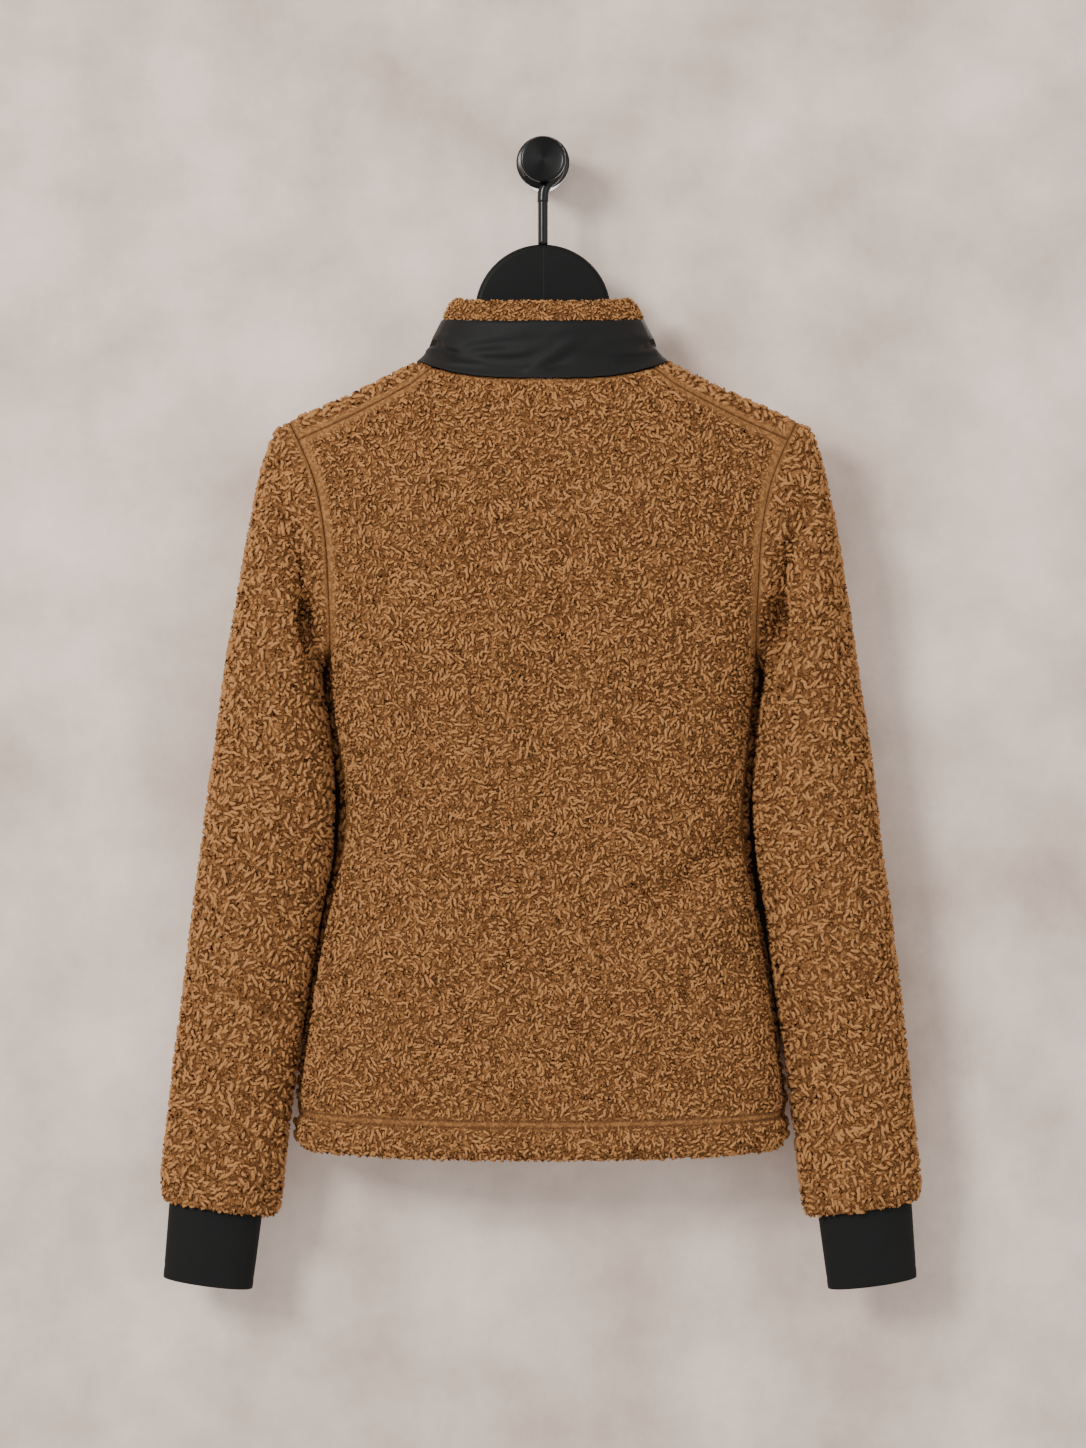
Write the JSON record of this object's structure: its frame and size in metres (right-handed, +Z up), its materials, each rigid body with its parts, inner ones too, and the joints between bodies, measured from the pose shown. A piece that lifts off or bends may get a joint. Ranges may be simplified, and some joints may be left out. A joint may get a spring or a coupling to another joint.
{
  "type": "teddy jacket on a hanger and wall knob",
  "caption": "Hollow teddy fleece jacket, back outward, with stand collar, set-in sleeves and smooth cuffs, on a domed hanger hooked over a round wall knob.",
  "frame": {"origin": "centre of the wall knob's flat back face, on the wall", "axes": "+Z up, +Y into the wall, so the jacket's back faces -Y; +X is the wearer's right"},
  "size_m": [0.6074, 0.1272, 0.9203],
  "materials": {
    "fleece": "curly pile fleece, matt caramel brown",
    "woven": "smooth woven nylon, soft sheen",
    "jersey": "fine smooth stretch jersey, matt",
    "zip_tape": "woven tape with a nylon coil",
    "zip_metal": "black painted metal",
    "hanger": "satin black",
    "steel_rod": "glossy black",
    "knob": "satin black, brushed face"
  },
  "bodies": {
    "jacket_on_hanger": {"back": "fleece", "front_left": "fleece", "front_right": "fleece", "sleeve_left": "fleece", "sleeve_right": "fleece", "collar_roll": "fleece", "collar_band": "woven", "cuff_left": "jersey", "cuff_right": "jersey", "zip_left": "zip_tape", "zip_right": "zip_tape", "zip_slider": "zip_metal", "hanger": "hanger", "hanger_hook": "steel_rod", "wall_knob": "knob"},
    "pull_tab": {"zip_pull": "zip_metal"}
  },
  "joints": [
    {"name": "zip_pull_hinge", "type": "hinge", "parent": "jacket_on_hanger", "child": "pull_tab", "pos_m": [0, -0.01223, -0.19713], "axis": [1, 0, 0], "range_deg": [0, 120]}
  ]
}
